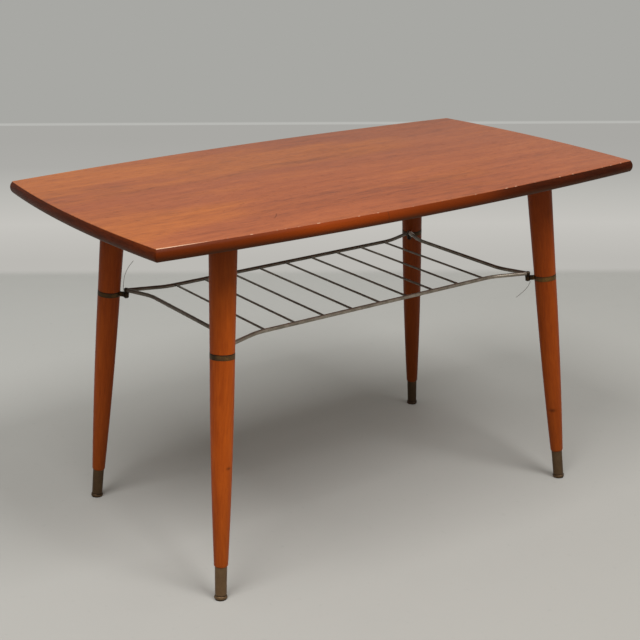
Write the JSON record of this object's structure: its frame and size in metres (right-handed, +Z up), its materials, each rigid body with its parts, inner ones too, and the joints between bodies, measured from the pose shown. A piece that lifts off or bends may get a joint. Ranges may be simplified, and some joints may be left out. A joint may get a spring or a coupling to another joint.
{
  "type": "magazine table with rack",
  "caption": "Low teak table with bowed rounded top, leaning turned legs in brass ferrules and a wire magazine rack held by brass leg bands.",
  "frame": {"origin": "on the floor, under the middle of the table top", "axes": "+X along the length of the top, +Y towards the rear, +Z up"},
  "size_m": [0.9, 0.5088, 0.548],
  "materials": {
    "teak_veneer": "satin oiled",
    "teak_lipping": "satin lacquered",
    "core_board": "raw",
    "leg_teak": "satin lacquered",
    "aged_brass": "dull, brown patina",
    "rack_metal": "dark patina, worn shine",
    "hardware_steel": "zinc plated"
  },
  "bodies": {
    "root": {"backing_veneer": "teak_veneer", "corner_pin_front_left": "rack_metal", "corner_pin_front_right": "rack_metal", "corner_pin_rear_left": "rack_metal", "corner_pin_rear_right": "rack_metal", "cross_bar_1": "rack_metal", "cross_bar_2": "rack_metal", "cross_bar_3": "rack_metal", "cross_bar_4": "rack_metal", "cross_bar_5": "rack_metal", "cross_bar_6": "rack_metal", "cross_bar_7": "rack_metal", "cross_bar_8": "rack_metal", "cross_bar_9": "rack_metal", "ferrule_front_left": "aged_brass", "ferrule_front_right": "aged_brass", "ferrule_rear_left": "aged_brass", "ferrule_rear_right": "aged_brass", "front_lipping": "teak_lipping", "front_rail": "rack_metal", "hanger_bolt_front_left": "hardware_steel", "hanger_bolt_front_right": "hardware_steel", "hanger_bolt_rear_left": "hardware_steel", "hanger_bolt_rear_right": "hardware_steel", "left_end_rod": "rack_metal", "left_lipping": "teak_lipping", "leg_band_front_left": "aged_brass", "leg_band_front_right": "aged_brass", "leg_band_rear_left": "aged_brass", "leg_band_rear_right": "aged_brass", "leg_front_left": "leg_teak", "leg_front_right": "leg_teak", "leg_plate_front_left": "hardware_steel", "leg_plate_front_right": "hardware_steel", "leg_plate_rear_left": "hardware_steel", "leg_plate_rear_right": "hardware_steel", "leg_rear_left": "leg_teak", "leg_rear_right": "leg_teak", "rear_lipping": "teak_lipping", "rear_rail": "rack_metal", "right_end_rod": "rack_metal", "right_lipping": "teak_lipping", "top_core": "core_board", "top_veneer": "teak_veneer"}
  },
  "joints": []
}
